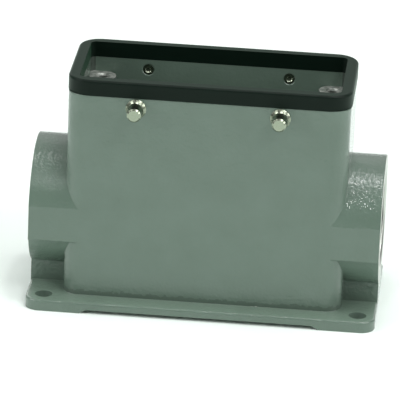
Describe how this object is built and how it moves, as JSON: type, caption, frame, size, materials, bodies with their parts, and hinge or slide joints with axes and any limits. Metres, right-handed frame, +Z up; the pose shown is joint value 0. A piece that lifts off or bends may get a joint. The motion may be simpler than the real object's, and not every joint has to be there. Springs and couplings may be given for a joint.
{
  "type": "rectangular connector housing",
  "caption": "Tall die-cast rectangular connector housing on a bolted flange, open at the top under a rubber rim gasket, with side cable entries and riveted locking pegs.",
  "frame": {"origin": "in the plane of the mounting feet (z = 0), at the centre of the flange", "axes": "+X along the housing, through the cable entries; +Y across it, away from the front pegs; +Z up, out of the open top"},
  "size_m": [0.117, 0.057, 0.0799],
  "materials": {
    "housing_enamel": "grey-green baked textured enamel on die-cast aluminium; bare machined faces at the cable entries and on the fixing pillars",
    "gasket_rubber": "black nitrile rubber, matt",
    "peg_steel": "turned steel, nickel plated"
  },
  "bodies": {
    "root": {"housing": "housing_enamel", "rim_gasket": "gasket_rubber", "peg_front_left": "peg_steel", "peg_front_right": "peg_steel", "peg_rear_left": "peg_steel", "peg_rear_right": "peg_steel"}
  },
  "joints": []
}
